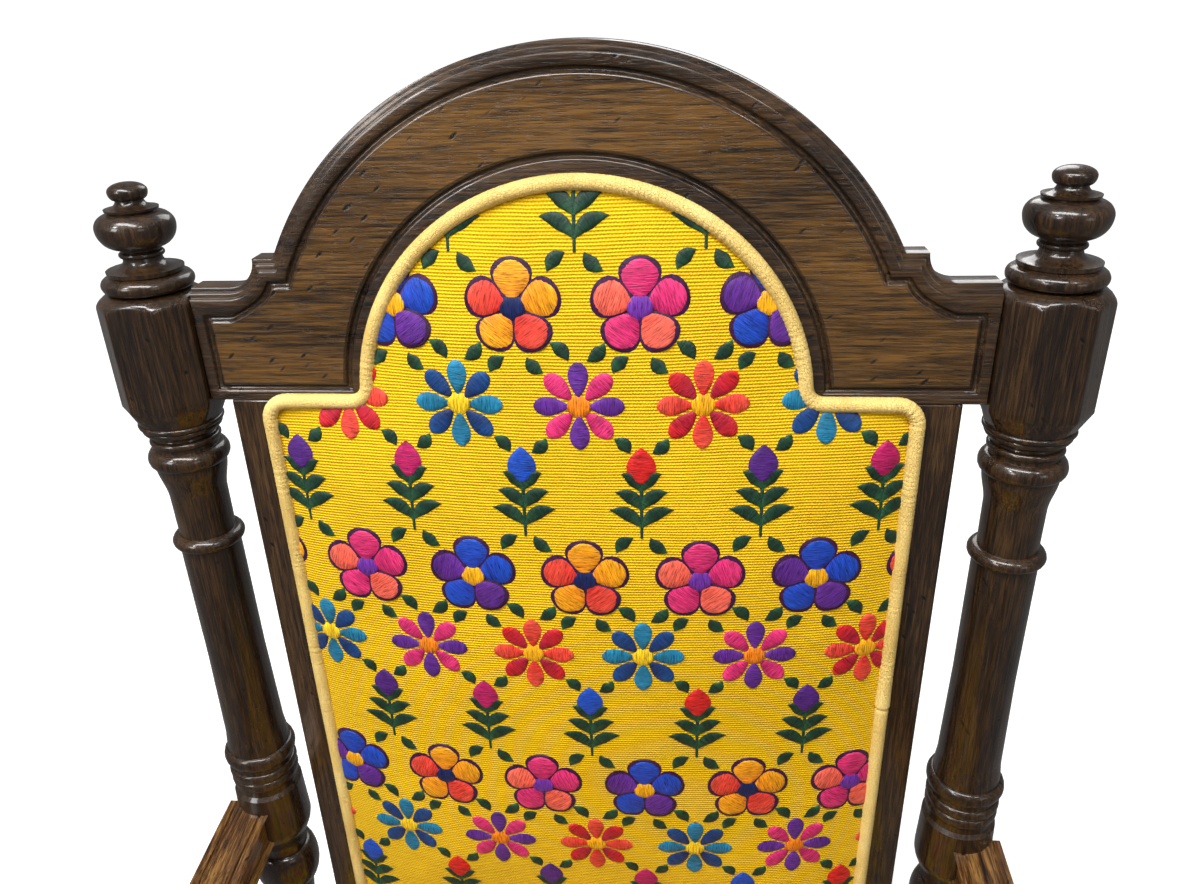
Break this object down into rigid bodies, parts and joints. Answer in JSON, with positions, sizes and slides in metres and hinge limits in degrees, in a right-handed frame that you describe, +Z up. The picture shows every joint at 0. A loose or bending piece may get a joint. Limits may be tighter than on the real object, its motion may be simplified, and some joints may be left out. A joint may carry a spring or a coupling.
{
  "type": "upholstered armchair",
  "caption": "High-back armchair with turned posts, an arched crest rail with finials, curved wooden arms, and a piped, embroidered back panel and seat pad.",
  "frame": {"origin": "on the floor, at the middle of the chair's bounding box seen from above", "axes": "+Z up; the chair faces -Y, so +Y runs towards its back; +X is the right-hand side seen from in front"},
  "size_m": [0.658, 0.593, 1.2434],
  "materials": {
    "turned_oak": "very dark brown stained oak, turned, semi-gloss lacquer",
    "arm_oak": "mid brown stained oak rubbed lighter, semi-gloss lacquer",
    "frame_oak": "olive brown stained oak with open grain and small distress marks, semi-gloss lacquer",
    "bare_wood": "unfinished light hardwood and plywood",
    "embroidered_cloth": "bright yellow ribbed cotton with raised satin-stitch embroidery",
    "piping_leather": "smooth cream leather, soft sheen",
    "zinc_steel": "bright zinc plate",
    "nylon": "off-white nylon"
  },
  "bodies": {
    "root": {"rear_post_left": "turned_oak", "rear_post_right": "turned_oak", "finial_left": "turned_oak", "finial_right": "turned_oak", "front_leg_left": "turned_oak", "front_leg_right": "turned_oak", "arm_left": "arm_oak", "arm_right": "arm_oak", "crest_rail": "frame_oak", "back_stile_left": "frame_oak", "back_stile_right": "frame_oak", "back_lower_rail": "frame_oak", "seat_rail_front": "frame_oak", "seat_rail_rear": "frame_oak", "seat_rail_left": "frame_oak", "seat_rail_right": "frame_oak", "back_board": "bare_wood", "seat_board": "bare_wood", "corner_blocks": "bare_wood", "back_cushion": "embroidered_cloth", "seat_cushion": "embroidered_cloth", "outside_back_panel": "embroidered_cloth", "back_piping": "piping_leather", "seat_piping": "piping_leather", "stretcher_front": "turned_oak", "stretcher_rear": "turned_oak", "stretcher_left": "turned_oak", "stretcher_right": "turned_oak", "rail_dowels": "bare_wood", "crest_dowels": "bare_wood", "stile_dowels": "bare_wood", "arm_dowels": "bare_wood", "corner_screws": "zinc_steel", "seat_screws": "zinc_steel", "back_panel_screws": "zinc_steel", "glide_nails": "zinc_steel", "glides": "nylon"}
  },
  "joints": []
}
